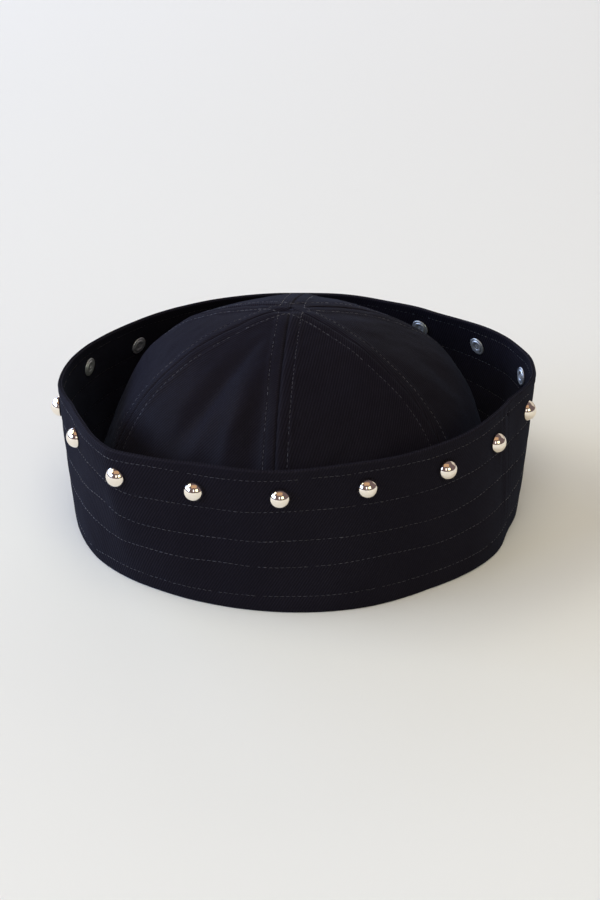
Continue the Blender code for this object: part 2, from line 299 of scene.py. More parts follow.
# %% Seams, facets and folds
SEAM_BENDS = (0.0, 0.0, 0.0, 0.0, 0.0, 4.5)  # degrees by which each seam strays halfway up
BEND_FULLNESS = 0.7
FLATNESS_AT = (0.0, 0.3, 0.6, 0.9, 1.0)  # share of the way up
FLATNESS = (0.0, 0.20, 0.25, 0.45, 0.60)
FLAT_DEPTH = math.cos(math.pi / len(SEAMS))  # a flat facet's middle against its edges
FOLDS = (  # azimuth and share at the low end, the same at the high end, half width, depth
    (-42, 0.28, -29, 0.96, 6.0 * MM, 5.4 * MM),
    (-24, 0.28, -19, 0.86, 4.5 * MM, -2.4 * MM),
    (-15, 0.15, -12, 0.80, 5.0 * MM, 1.8 * MM),
    (76, 0.25, 88, 0.82, 11.0 * MM, 2.2 * MM),
    (-92, 0.10, -88, 0.72, 20.0 * MM, 3.6 * MM),
    (150, 0.25, 146, 0.80, 13.0 * MM, 2.5 * MM),
    (-150, 0.20, -140, 0.75, 12.0 * MM, 2.2 * MM),
)


def seam_azimuth(number, share):
    """Where a seam lies at each share of its way up. One seam was sewn a little bent."""
    number = number % len(SEAMS)
    return SEAMS[number] + SEAM_BENDS[number] * half_wave(share) ** BEND_FULLNESS


def flattened(azimuth, share):
    """The radius against a round dome's, for gores pulled flat between their seams."""
    facet = np.ones_like(share)
    for number in range(len(SEAMS)):
        left = seam_azimuth(number, share)
        width = (seam_azimuth(number + 1, share) - left) % 360
        across = (azimuth - left) % 360
        chord = np.cos(np.radians(width / 2)) / np.cos(np.radians(across - width / 2))
        facet = np.where(across <= width, chord, facet)
    flatness = np.interp(share, FLATNESS_AT, FLATNESS)
    return (1 - flatness * (1 - facet)) / (1 - flatness * (1 - FLAT_DEPTH))


def fold_depth(azimuth, share, radius):
    """How deep the folds are at each place."""
    depth = np.zeros_like(radius)
    for low_azimuth, low_share, high_azimuth, high_share, half_width, deepest in FOLDS:
        along = (share - low_share) / (high_share - low_share)
        middle = low_azimuth + along * (high_azimuth - low_azimuth)
        across = np.radians(turn_from(middle, azimuth)) * radius
        depth += deepest * half_wave(along) ** 2 * bump(across, half_width)
    return depth


# %% Points of the crown
CROWN_LIFT = 1.0 * MM  # the gores' lower edge over the ground
APEX_SHIFT = -1.2 * MM  # where the points meet, to the left
SIDE_SWAY = 0.8 * MM  # to the right, at half height
FOOT_FOLLOWS = (3 * MM, 14 * MM)  # between these the crown stops following the brim's bends
FOOT_SPREAD = GAP + 0.04 * MM  # the lowest edge touches the brim
SPREAD_FADES = (1.0 * MM, 4.0 * MM)
PEAK_DENT = (-2.8 * MM, -2.2 * MM, 5.0 * MM, 1.7 * MM, 0.9 * MM)  # across, back, half sizes, depth
PEAK_SHARE = 0.8  # the dent shows only above this


def peak_dent(azimuth, share, radius):
    """The small dent beside the peak."""
    dent_across, dent_back, half_length, half_width, deep = PEAK_DENT
    across = radius * np.sin(np.radians(azimuth)) - dent_across
    back = -radius * np.cos(np.radians(azimuth)) - dent_back
    return deep * bump(across, half_length) * bump(back, half_width) * (share > PEAK_SHARE)


def crown_points(azimuth, share, inward=0.0):
    """Points of the crown, by the share of the way up a gore and how far in from its outer face."""
    azimuth, share, inward = np.broadcast_arrays(azimuth, share, inward)
    place = share * (len(PROFILE) - 1)
    steps = np.arange(len(PROFILE))
    radius, height = (
        np.interp(place, steps, PROFILE[:, k]) + inward * np.interp(place, steps, PROFILE_INWARD[:, k])
        for k in (0, 1)
    )
    radius = radius * flattened(azimuth, share)
    radius = radius + foot_flare(azimuth, height) - foot_flare(SEAMS[0], height)
    radius = radius - fold_depth(azimuth, share, radius)
    radius = radius - wall_sway(azimuth, height) * (1 - soft_step(height, *FOOT_FOLLOWS))
    radius = radius + FOOT_SPREAD * (1 - soft_step(height, *SPREAD_FADES))
    up = height / CROWN_HEIGHT
    points = outward(azimuth) * radius[..., None]
    points[..., 0] += APEX_SHIFT * up * up + SIDE_SWAY * half_wave(up)
    points[..., 2] = np.maximum(height, 0.0) + CROWN_LIFT - peak_dent(azimuth, share, radius)
    return points


print("the crown's peak stands at", (crown_points(0.0, 1.0) + SHIFT) / MM, "mm")

# %% [markdown]
# ## Materials as short sums
#
# A finish is a web of nodes. Wiring each one by hand hides the idea, so one small class wraps a socket and
# lets Python's own signs add Math nodes. A second class holds one material, and its node method makes every
# other node.


# %% A number that a material works out
class Number:
    """A value that a material works out at each point of the surface."""

    def __init__(self, finish, socket):
        self.finish = finish
        self.socket = socket

    def math(self, operation, *values):
        return self.finish.node("ShaderNodeMath", {"operation": operation}, dict(enumerate(values)))

    def __add__(self, other):
        return self.math("ADD", self, other)

    def __sub__(self, other):
        return self.math("SUBTRACT", self, other)

    def __rsub__(self, other):
        return self.math("SUBTRACT", other, self)

    def __mul__(self, other):
        return self.math("MULTIPLY", self, other)

    def __truediv__(self, other):
        return self.math("DIVIDE", self, other)

    __radd__ = __add__
    __rmul__ = __mul__

    def sine(self):
        return self.math("SINE", self)

    def fraction(self):
        return self.math("FRACT", self)

    def floor(self):
        return self.math("FLOOR", self)

    def above(self, least):
        return self.math("MAXIMUM", self, least)


# %% A finish
ATTRIBUTE_NUMBER = 2  # the output of an Attribute node that is a plain number
MIX_FACTOR, MIX_FIRST, MIX_SECOND, MIX_RESULT = 0, 6, 7, 2  # sockets of a Mix node for colours


class Finish:
    """One material, its main shader, and the means to add nodes to it."""

    def __init__(self, name, **constants):
        self.material = bpy.data.materials.new(name)
        self.material.use_nodes = True
        self.tree = self.material.node_tree
        self.shader = self.tree.nodes["Principled BSDF"]
        for socket, value in constants.items():
            self.set(socket.replace("_", " "), value)

    def feed(self, socket, value):
        if isinstance(value, Number):
            self.tree.links.new(value.socket, socket)
        else:
            socket.default_value = value

    def set(self, socket, value):
        self.feed(self.shader.inputs[socket], value)

    def node(self, kind, settings=None, inputs=None, output=0):
        """Adds a node. Its settings come first, since they decide which sockets it has."""
        made = self.tree.nodes.new(kind)
        for name, value in (settings or {}).items():
            setattr(made, name, value)
        for place, value in (inputs or {}).items():
            self.feed(made.inputs[place], value)
        return Number(self, made.outputs[output])

    def place(self):
        """Where a point lies on the cap, in metres."""
        return self.node("ShaderNodeTexCoord", output="Object")

    def noise(self, place, size, detail=2.0):
        """Cloudy noise from 0 to 1, whose lumps are about size metres across."""
        wanted = {"Vector": place, "Scale": 1 / size, "Detail": detail}
        return self.node("ShaderNodeTexNoise", inputs=wanted)

    def between(self, value, low, high):
        """A soft step: 0 below low and 1 above high."""
        wanted = {"Value": value, "From Min": low, "From Max": high}
        return self.node("ShaderNodeMapRange", {"interpolation_type": "SMOOTHSTEP"}, wanted)

    def mix(self, factor, first, second):
        """Blends two colours."""
        wanted = {MIX_FACTOR: factor, MIX_FIRST: first, MIX_SECOND: second}
        return self.node("ShaderNodeMix", {"data_type": "RGBA"}, wanted, output=MIX_RESULT)

    def raise_surface(self, height):
        """Turns a height in metres into a change of the surface's slope."""
        self.set("Normal", self.node("ShaderNodeBump", inputs={"Distance": 1.0, "Height": height}))


# %% [markdown]
# ## The twill's weave
#
# In twill each warp thread passes over two weft threads and under one, one step further along on each next
# thread. The steps line up as slanting ribs about a millimetre apart. An image could carry such a pattern,
# but sums on the cloth's own flat coordinates stay sharp at any distance and follow every fold. The finish
# takes the angle of the ribs, so the brim and the gores can each have their own.

# %% The height of the threads
RIB_PITCH = 1.08 * MM
WARPS_IN_A_RIB = 3
STRAY = 0.20 * MM  # in all, from a straight line
FLOAT_PART, RIB_PART = 0.6, 0.9  # shares of the height
THINNEST, THICKER = 0.55, 0.9  # how thick a thread is, and what its lumps add


def thread_height(cloth, flat, slant):
    """The height of the weave, about 0 to 1. Its ribs rise to the right at slant degrees."""
    split = cloth.node("ShaderNodeSeparateXYZ", inputs={0: flat}).socket.node
    stray = (cloth.noise(flat, size=2.0 * MM) - 0.5) * STRAY
    along = Number(cloth, split.outputs["X"]) + stray
    up = Number(cloth, split.outputs["Y"]) + stray
    rib_across = RIB_PITCH / math.sin(math.radians(slant))
    rib_up = RIB_PITCH / math.cos(math.radians(slant))
    warp = along * (WARPS_IN_A_RIB / rib_across)
    yarn = (warp.fraction() * math.pi).sine()
    step = warp.floor() / WARPS_IN_A_RIB
    over = (up / rib_up - step).fraction()
    float_top = (over * (math.pi * 1.5)).sine().above(0.0)
    rib = ((up / rib_up - along / rib_across) * (2 * math.pi)).sine() * 0.5 + 0.5
    lumps = cloth.noise(flat, size=0.9 * MM, detail=3.0)
    weave = (float_top * FLOAT_PART + rib * RIB_PART) * (0.5 + yarn * 0.5)
    return weave * (THINNEST + lumps * THICKER)


# %% [markdown]
# ## The twill's colour, wear and painted highlight
#
# Old twill is rubbed pale on its high threads, in large patches, and most of all along edges and seams, where
# each piece of cloth carries an attribute for it. Along the outer and inner edge of the brim's rim those pale
# lines are partly worn cloth and partly a painted highlight. Short fuzz softens its black. The cloth has
# almost no gloss: a thin rough coat lifts it a little, and a blue sheen stands for the fuzz seen from the
# side.

# %% The twill finish
TWILL_DARK = (0.0082, 0.0069, 0.0112, 1.0)
# the pale colour serves for worn cloth, and on the rim's edges for a painted highlight
TWILL_WORN_AND_LIT = (0.0190, 0.0170, 0.0255, 1.0)
WEFT_DARK = (0.0056, 0.0050, 0.0080, 1.0)
FUZZ_BLUE = (0.46, 0.60, 1.0, 1.0)
WEAVE_DEPTH = 0.090 * MM
RUMPLE_DEPTH = 0.40 * MM
RUBBED, RUBBED_PATCHES = 0.25, 0.5  # how far the high threads are rubbed pale, and how much more in patches
# the edge term pales worn seam edges, and paints a highlight along the rim's edges
RUBBED_FUZZ, EDGE_WEAR_AND_HIGHLIGHT = 0.16, 0.35
ROUGHEST, SMOOTHER = 0.56, 0.15


def pale_wear_and_highlight(cloth, flat, place, height):
    """How pale the cloth is at each point: rubbed threads and patches, and on the brim's rim also a painted
    highlight.
    """
    patch = cloth.between(cloth.noise(place, size=28 * MM, detail=4.0), low=0.35, high=0.75)
    fuzz = cloth.between(cloth.noise(flat, size=1.6 * MM, detail=5.0), low=0.45, high=0.80)
    # pale edge marks: worn seams, and a painted highlight along the brim's rim
    edge = cloth.node("ShaderNodeAttribute", {"attribute_name": "wear_and_highlight"}, output=ATTRIBUTE_NUMBER)
    high = (height * 0.5) * (RUBBED + patch * RUBBED_PATCHES)
    return high + fuzz * RUBBED_FUZZ + edge * (EDGE_WEAR_AND_HIGHLIGHT + fuzz * 0.5)


def twill_finish(name, slant):
    """Dark twill. The cloth's UV map is in metres."""
    cloth = Finish(
        name, Specular_IOR_Level=0.0, Coat_Weight=0.06, Coat_Roughness=0.50,
        Sheen_Weight=0.045, Sheen_Roughness=0.35, Sheen_Tint=FUZZ_BLUE,
    )
    flat = cloth.node("ShaderNodeUVMap", {"uv_map": "cloth"})
    place = cloth.place()
    height = thread_height(cloth, flat, slant)
    rumple = cloth.noise(place, size=9 * MM, detail=3.0)
    cloth.raise_surface(height * WEAVE_DEPTH + rumple * RUMPLE_DEPTH)
    worn_and_lit = pale_wear_and_highlight(cloth, flat, place, height)
    warp_colour = cloth.mix(worn_and_lit, TWILL_DARK, TWILL_WORN_AND_LIT)
    weft_shows = 1 - cloth.between(height, low=0.02, high=0.35)
    cloth.set("Base Color", cloth.mix(weft_shows, warp_colour, WEFT_DARK))
    cloth.set("Roughness", ROUGHEST - worn_and_lit * SMOOTHER)
    return cloth.material


BRIM_SLANT, GORE_SLANT = 59, 59  # degrees
brim_twill = twill_finish("brim_twill", BRIM_SLANT)
gore_twill = twill_finish("gore_twill", GORE_SLANT)

# %% [markdown]
# ## Helpers for cloth
#
# A piece of cloth starts as a flat grid, like the cut cloth on the table. Its vertices then move to their
# places on the cap. The same flat places, in metres, become the UV map, so the weave is never stretched.


# %% Helpers for cloth
def flat_grid(name, columns, rows, two_sides=False):
    """A flat unit grid as a mesh, and the column, row and side of each of its vertices."""
    shape = bmesh.new()
    bmesh.ops.create_grid(shape, x_segments=columns, y_segments=rows, size=0.5)
    if two_sides:
        grown = bmesh.ops.extrude_face_region(shape, geom=list(shape.faces), use_keep_orig=True)
        under = [item for item in grown["geom"] if isinstance(item, bmesh.types.BMVert)]
        bmesh.ops.translate(shape, verts=under, vec=(0, 0, -1))
        bmesh.ops.recalc_face_normals(shape, faces=shape.faces)
    mesh = bpy.data.meshes.new(name)
    shape.to_mesh(mesh)
    shape.free()
    places = np.empty(len(mesh.vertices) * 3, np.float32)
    mesh.vertices.foreach_get("co", places)
    places = places.reshape(-1, 3)
    column = np.rint((places[:, 0] + 0.5) * columns).astype(int)
    row = np.rint((places[:, 1] + 0.5) * rows).astype(int)
    return mesh, column, row, places[:, 2] < -0.5


def ends_close(close_by, whole, columns):
    """Places of columns along a whole length: as listed near both ends, and even between."""
    middle = np.linspace(close_by[-1], whole - close_by[-1], columns + 3 - 2 * len(close_by))
    return np.concatenate([close_by[:-1], middle, whole - close_by[-2::-1]])


def lay_cloth(mesh, points, flat, wear_and_highlight):
    """Moves every vertex to its place on the cap, and keeps its flat place and its pale edge marks, which are
    worn cloth and, on the brim's rim, also a painted highlight.
    """
    mesh.vertices.foreach_set("co", (points + SHIFT).astype(np.float32).ravel())
    corners = np.empty(len(mesh.loops), np.int32)
    mesh.loops.foreach_get("vertex_index", corners)
    layer = mesh.uv_layers.new(name="cloth")
    layer.data.foreach_set("uv", flat[corners].astype(np.float32).ravel())
    mesh.attributes.new("wear_and_highlight", "FLOAT", "POINT").data.foreach_set("value", wear_and_highlight.astype(np.float32))
    mesh.update()


def close_and_smooth(mesh, merge=0.0):
    """Sews up edges that meet, turns the faces outwards and shades them smooth."""
    shape = bmesh.new()
    shape.from_mesh(mesh)
    if merge:
        bmesh.ops.remove_doubles(shape, verts=shape.verts, dist=merge)
    bmesh.ops.recalc_face_normals(shape, faces=shape.faces)
    open_edges = sum(not edge.is_manifold for edge in shape.edges)
    shape.to_mesh(mesh)
    shape.free()
    mesh.shade_smooth()
    print(f"{mesh.name}: {len(mesh.polygons)} faces, {open_edges} open edges")


def show(mesh, finish, replaced=None):
    """Makes the mesh a piece of the cap."""
    mesh.materials.append(finish)
    piece = bpy.data.objects.new(mesh.name, mesh)
    bpy.context.scene.collection.objects.link(piece)
    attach(piece, "root")
    if replaced:
        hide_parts(replaced)
    return piece


# %% [markdown]
# ## Rows and studs on the brim
#
# Five rows of topstitching press the brim's two layers together, with the studs between the two highest. The
# rows were sewn by hand and eye, so each wanders, and a table says how far it drifts around the front.

# %% Where the stitching and the studs are
ROW_HEIGHTS = [height * MM for height in (7.6, 21.2, 33.3, 46.8, 61.2)]
DRIFT_AZIMUTHS = (-100, -60, -50, -37, -20, 0, 20, 40, 60, 100)
ROW_DRIFTS = (  # for each row, lowest first, how many mm too high it was sewn at each of these azimuths
    (0, -3.2, -1.4, -0.6, -0.8, 0.0, 0.6, -0.1, 0.3, 0),
    (0, -0.2, -1.3, 0.4, -0.1, 0.0, 1.3, -0.5, 0.0, 0),
    (0, 0.9, 2.6, -0.5, -0.6, 0.1, 0.3, -0.6, 1.2, 0),
    (0, 2.2, 1.4, -0.5, -0.5, 0.1, 0.4, 0.0, 0.4, 0),
    (0, -1.5, -0.9, 0.6, -0.7, 0.0, 0.4, -0.7, 0.0, 0),
)
DRIFT_SMOOTHING = 5  # degrees each way
DRIFTS = [eased(DRIFT_AZIMUTHS, np.array(drift) * MM, DRIFT_SMOOTHING) for drift in ROW_DRIFTS]
WOBBLE = 0.12 * MM
STUDS = (  # azimuth, how far below the rim
    (-3.1, 0.0121), (17.2, 0.0112), (39.2, 0.0120), (59.3, 0.0124), (79.3, 0.0120),
    (99.7, 0.0119), (121.1, 0.0112), (141.0, 0.0109), (163.8, 0.0112), (186.5, 0.0116),
    (208.9, 0.0124), (231.4, 0.0137), (255.0, 0.0104), (277.5, 0.0125), (297.7, 0.0110),
    (318.6, 0.0119), (337.2, 0.0122),
)


def row_height(number, azimuth):
    """The height of one row of stitching."""
    wobble = WOBBLE * ripples(band_place(azimuth), 0.0, size=40 * MM, seed=20 + number, waves=5)
    return ROW_HEIGHTS[number] + around(azimuth, DRIFTS[number]) + wobble


# %% [markdown]
# ## The brim's relief
#
# The cloth is drawn in along each row and swells between the rows. It puckers beside the joining seam, and
# each rivet pulls a shallow dish into it. One function adds these up as the depth of a face at each place.

# %% The brim's relief
ROW = (0.13 * MM, 0.8 * MM)  # depth and half width, as below
RIM_SEAM = (0.24 * MM, 0.5 * MM)
JOIN_GROOVE = (0.20 * MM, 0.5 * MM)
PIT = (0.7 * MM, 1.3 * MM)
DISH = (0.22 * MM, 5.4 * MM)
RIM_SEAM_BELOW = 1.9 * MM  # below the rim
PIT_BELOW = 4.5 * MM
PULL_CHANGE = 0.35  # how unevenly the thread was pulled
SWELL = 0.10 * MM
PUCKER, PUCKER_DRAWN, PUCKER_FADES = 0.20 * MM, 0.08, (2 * MM, 12 * MM)  # drawn out up the cloth
JOIN_RAISE, JOIN_EDGE = 0.12 * MM, (3 * MM, 6.5 * MM)


def join_relief(from_join, up):
    """The outside of the joining seam: a groove between raised edges, with a pit near the rim."""
    from_pit = np.hypot(from_join, up - (BRIM_HEIGHT - PIT_BELOW))
    raised = JOIN_RAISE * (1 - soft_step(from_join, *JOIN_EDGE))
    return pressed(from_join, *JOIN_GROOVE) - raised + pressed(from_pit, *PIT)


def brim_relief(azimuth, up, inside):
    """How far one face of the brim is pressed in at each place. Negative is out."""
    along = band_place(azimuth)
    from_join = from_joining_seam(along)
    free = soft_step(from_join, *SEAM_HOLD)
    pull = 1 + PULL_CHANGE * ripples(along, 0.0, size=14 * MM, seed=31, waves=6) * free
    rows = [row_height(number, azimuth) for number in range(len(ROW_HEIGHTS))]
    edges = [np.zeros_like(along), *rows, np.full_like(along, BRIM_HEIGHT)]
    relief = pressed(up - (BRIM_HEIGHT - RIM_SEAM_BELOW), *RIM_SEAM)
    for height in rows:
        relief = relief + pull * pressed(up - height, *ROW)
    for lower, upper in zip(edges, edges[1:]):
        relief = relief - SWELL * half_wave((up - lower) / (upper - lower))
    pucker = PUCKER * ripples(along, up * PUCKER_DRAWN, size=3.6 * MM, seed=44, waves=9)
    relief = relief + pucker * (1 - soft_step(from_join, *PUCKER_FADES)) * free
    if not inside:
        relief = relief + join_relief(from_join, up)
    for stud_azimuth, below_rim in STUDS:
        reach = np.hypot(along - band_place(stud_azimuth), up - (BRIM_HEIGHT - below_rim))
        relief = relief + pressed(reach, *DISH)
    return relief


# %% [markdown]
# ## The brim's cloth
#
# The brim is one band folded double. Its two layers could be modelled apart, but nothing between them ever
# shows. So one grid is wrapped round the whole section: up the outer face, over the rolled rim, down the
# inner face and back under the foot. Its lines lie close together at the stitching and at the joining seam.

# %% The brim's section
FOOT_ROUND = 0.9 * MM
FOOT_TURNS = np.radians((85, 60, 35, 12))
INNER_FOOT = 0.2 * MM
RIM_ROUND = 1.0 * MM
RIM_MIDDLE = 1.0  # in mm: what lies deeper belongs to the inner face
RIM_SECTION = (  # depth into the cloth and distance below the top, in mm: the two layers meet in a groove
    (0.0, 1.0), (0.03, 0.72), (0.13, 0.42), (0.32, 0.16), (0.6, 0.02), (0.85, 0.04), (1.02, 0.2),
    (1.14, 0.44), (1.24, 0.5), (1.34, 0.34), (1.47, 0.14), (1.65, 0.1), (1.84, 0.24), (1.96, 0.55),
    (2.0, 1.0),
)
BESIDE_A_ROW = (-2.4, -1.5, -0.95, -0.5, 0.0, 0.5, 0.95, 1.5, 2.4)  # the grid's own rows, in mm
BETWEEN_ROWS = (-2.2, 0.0, 2.2)
BESIDE_THE_RIM_SEAM = (0.0, 0.45)
ABOVE_THE_FOOT = (2.0, 3.6)


def face_levels():
    """Heights of the grid's rows up one face of the brim, close together at the stitching."""
    between = [(low + high) / 2 for low, high in zip(ROW_HEIGHTS, ROW_HEIGHTS[1:])]
    groups = (
        (ROW_HEIGHTS, BESIDE_A_ROW),
        (between, BETWEEN_ROWS),
        ([BRIM_HEIGHT - RIM_SEAM_BELOW], BESIDE_THE_RIM_SEAM),
        ([0.0], ABOVE_THE_FOOT),
    )
    levels = [middle + offset * MM for middles, offsets in groups for middle in middles for offset in offsets]
    return sorted(level for level in levels if FOOT_ROUND < level < BRIM_HEIGHT - RIM_ROUND)


def brim_section():
    """The closed section of the brim, from under its foot round to it again: height, depth and side."""
    levels = face_levels()
    section = [(0.0, BRIM_WALL / 2, 0)]
    foot = [(1 - math.sin(turn), 1 - math.cos(turn)) for turn in FOOT_TURNS]
    section += [(FOOT_ROUND * height, FOOT_ROUND * depth, 0) for height, depth in foot]
    section += [(level, 0.0, 0) for level in levels]
    section += [(BRIM_HEIGHT - below * MM, depth * MM, depth > RIM_MIDDLE) for depth, below in RIM_SECTION]
    section += [(level, BRIM_WALL, 1) for level in reversed(levels)]
    section += [(0.0, BRIM_WALL - INNER_FOOT, 1), (0.0, BRIM_WALL / 2, 1)]
    return np.array(section, dtype=float)


print(f"the section has {len(brim_section())} points")

# %% Lay the brim's cloth
BRIM_COLUMNS = 600
BESIDE_THE_JOIN = np.array([0, 0.3, 0.6, 1.0, 1.5, 2.2, 3.0, 4.0, 5.0, 6.0]) * MM
FOOT_FADE, RIM_FADE = 2.5 * MM, 1.5 * MM  # where the relief fades out
EDGE_WAVE, EDGE_WAVE_FROM = 0.22 * MM, 40 * MM  # the rim runs a little up and down
# pale lines along the rim's outer and inner edge: partly worn cloth, partly a painted highlight
RIM_WEAR_AND_HIGHLIGHT = ((0.3 * MM, 0.3 * MM), (1.7 * MM, 0.25 * MM))  # of the rim: depth and half width
RIM_LINES_FROM, RIM_LINES_FULL = 0.9 * MM, 0.5 * MM  # below the rim


def make_brim():
    section = brim_section()
    mesh, column, row, _ = flat_grid("brim_cloth", BRIM_COLUMNS, len(section) - 1)
    along = ends_close(BESIDE_THE_JOIN, BAND_LENGTH, BRIM_COLUMNS)
    azimuth = np.interp(along, RING_LENGTHS, RING)[column]
    up, layer, inside = section[row].T
    # the rim's pale lines: worn cloth and a painted highlight together
    wear_and_highlight = sum(bump(layer - middle, half_width) for middle, half_width in RIM_WEAR_AND_HIGHLIGHT)
    wear_and_highlight = wear_and_highlight * soft_step(up, BRIM_HEIGHT - RIM_LINES_FROM, BRIM_HEIGHT - RIM_LINES_FULL)
    relief = np.where(inside > 0, -brim_relief(azimuth, up, True), brim_relief(azimuth, up, False))
    depth = layer + relief * soft_step(up, 0.0, FOOT_FADE) * soft_step(BRIM_HEIGHT - up, 0.0, RIM_FADE)
    wave = EDGE_WAVE * ripples(along[column], 0.0, size=45 * MM, seed=51, waves=6)
    wave = wave * soft_step(from_joining_seam(along)[column], 0, SEAM_HOLD[1])
    up = up + wave * soft_step(up, EDGE_WAVE_FROM, BRIM_HEIGHT)
    flat = np.stack([along[column], lengths_along(section[:, :2])[row]], axis=1)
    lay_cloth(mesh, wall_points(azimuth, up, depth), flat, wear_and_highlight)
    close_and_smooth(mesh, merge=0.02 * MM)
    return mesh


brim = show(make_brim(), brim_twill, replaced="brim")

# %% [markdown]
# ## The gores
#
# A gore is a long leaf of cloth. Two gores are sewn along their edges face to face and opened out. The spare
# cloth is pressed to both sides and sewn down, so each seam is a thin groove with a raised band and a row of
# stitches on either side. Moving the edges of a smooth dome would not show this. Instead each gore is its
# own two-sided grid whose columns follow the seam at fixed distances, and a relief in millimetres shapes the
# seam.

# %% The gores' relief
SEAM_ALLOWANCE = 5.9 * MM
STITCH_FROM_SEAM = 4.9 * MM
SEAM_GROOVE = (0.50 * MM, 0.60 * MM)  # depth and half width
STITCH_DIP = (0.16 * MM, 0.6 * MM)
INNER_GROOVE = (0.7 * MM, 0.5 * MM)
INNER_DIP = (0.2 * MM, 0.6 * MM)
BAND_RAISE, BAND_EDGE, BAND_SWELL = 0.26 * MM, 1.1 * MM, 0.10 * MM
SPARE_CLOTH, SPARE_EDGE = 0.5 * MM, 0.5 * MM  # inside: how thick, and how far it goes on
TIP_FADES = (1.0 * MM, 6.0 * MM)  # where the gore narrows
FOOT_SHARE = 0.03
CROWN_RIPPLES = ((30 * MM, 0.22 * MM, 1.0, 60), (10 * MM, 0.05 * MM, 1.0, 70))  # as for the wall
RIPPLE_SHARES = (0.01, 0.08)


def crown_sway(azimuth, share):
    """Ripples of the whole crown, laid out from the peak so that they cross the seams unbroken."""
    reach = (1 - share) * GORE_LENGTH
    across, down = reach * np.sin(np.radians(azimuth)), reach * np.cos(np.radians(azimuth))
    return rippled(across, down, CROWN_RIPPLES) * soft_step(share, *RIPPLE_SHARES)


def gore_relief(from_seam, half_width, azimuth, share):
    """How far in the cloth is pressed at each distance from a seam. Negative is out."""
    relief = pressed(from_seam, *SEAM_GROOVE)
    relief -= BAND_RAISE * (1 - soft_step(from_seam, SEAM_ALLOWANCE, SEAM_ALLOWANCE + BAND_EDGE))
    relief += pressed(from_seam - STITCH_FROM_SEAM, *STITCH_DIP)
    relief -= BAND_SWELL * half_wave(from_seam / STITCH_FROM_SEAM)
    relief = relief * soft_step(half_width, *TIP_FADES) * soft_step(share, 0.0, FOOT_SHARE)
    return relief + crown_sway(azimuth, share)


def inner_relief(from_seam):
    """The seam's spare cloth, pressed open on the inside of the crown."""
    spare = 1 - soft_step(from_seam, SEAM_ALLOWANCE + SPARE_EDGE, SEAM_ALLOWANCE + BAND_EDGE)
    dips = pressed(from_seam, *INNER_GROOVE) + pressed(from_seam - STITCH_FROM_SEAM, *INNER_DIP)
    return dips - SPARE_CLOTH * spare


# %% Lay the gores
TIP_SHARE = 0.997  # a gore's point stops just short of the peak
GORE_COLUMNS = 84
GORE_ROWS = 110
BESIDE_A_SEAM = np.array([0, 0.3, 0.7, 1.2, 1.9, 2.8, 3.7, 4.4, 4.9, 5.4, 5.9, 6.6, 7.6]) * MM
SQUEEZED_SHARE = 0.8  # of a narrow gore, for the columns beside its seams
ACROSS_SAMPLES = 181
THINNEST_WALL = 0.6 * MM
WORN_LINES = ((1.1 * MM, 0.55, 0.45 * MM), (SEAM_ALLOWANCE, 0.45, 0.5 * MM))  # place, how worn, half width


def gore_lattice(number):
    """Azimuth, place across, distance from a seam and half width at each point of a gore's grid."""
    shares = np.linspace(0, TIP_SHARE, GORE_ROWS + 1)
    azimuth, along, from_seam, half_width = np.empty((4, GORE_ROWS + 1, GORE_COLUMNS + 1))
    for row, share in enumerate(shares):
        left = seam_azimuth(number, share)
        fine = left + np.linspace(0, (seam_azimuth(number + 1, share) - left) % 360, ACROSS_SAMPLES)
        lengths = lengths_along(crown_points(fine, share))
        whole = lengths[-1]
        squeeze = min(1.0, SQUEEZED_SHARE * whole / 2 / BESIDE_A_SEAM[-1])
        distance = ends_close(BESIDE_A_SEAM * squeeze, whole, GORE_COLUMNS)
        azimuth[row] = np.interp(distance, lengths, fine)
        along[row] = distance - whole / 2
        from_seam[row] = np.minimum(distance, whole - distance)
        half_width[row] = whole / 2
    return azimuth, along, from_seam, half_width, shares


def make_gore(number):
    *lattice, shares = gore_lattice(number)
    name = f"gore_cloth_{number + 1}"
    mesh, column, row, under = flat_grid(name, GORE_COLUMNS, GORE_ROWS, two_sides=True)
    azimuth, along, from_seam, half_width = (values[row, column] for values in lattice)
    share = shares[row]
    outer = gore_relief(from_seam, half_width, azimuth, share)
    inner = CROWN_WALL - inner_relief(from_seam)
    depth = np.where(under, np.maximum(inner, outer + THINNEST_WALL), outer)
    wear_and_highlight = sum(pressed(from_seam - middle, *line) for middle, *line in WORN_LINES)
    flat = np.stack([along, share * GORE_LENGTH], axis=1)
    lay_cloth(mesh, crown_points(azimuth, share, depth), flat, wear_and_highlight)
    close_and_smooth(mesh)
    return mesh


for number in range(len(SEAMS)):
    mesh = make_gore(number)
    gore = show(mesh, gore_twill, replaced=f"gore_{number + 1}")


# %% [markdown]
# ## Thread
#
# Each stitch shows as a short dash that dives into the cloth at both ends. A row could be one tube with a
# painted pattern, but dashes catch the light one by one. One dash is shaped from a sphere, and its copies are
# set out along each row by arrays, with small seeded changes. A few stitches are missing.

# %% The thread's finish and one stitch
GREY_DARK, GREY_PALE = (0.021, 0.020, 0.027, 1.0), (0.053, 0.052, 0.070, 1.0)
# inside the brim and crown the thread is painted much darker: painted shade, as the inside lies in shade
SHADE_PAINTED_DARK, SHADE_PAINTED_PALE = (0.006, 0.006, 0.008, 1.0), (0.014, 0.014, 0.018, 1.0)
FIBRE_DEPTH = 0.05 * MM


def thread_finish(name, dark, pale):
    thread = Finish(name, Roughness=0.38)
    place = thread.place()
    faded = thread.between(thread.noise(place, size=12 * MM, detail=4.0), low=0.35, high=0.70)
    thread.set("Base Color", thread.mix(faded, dark, pale))
    thread.raise_surface(thread.noise(place, size=0.25 * MM) * FIBRE_DEPTH)
    return thread.material


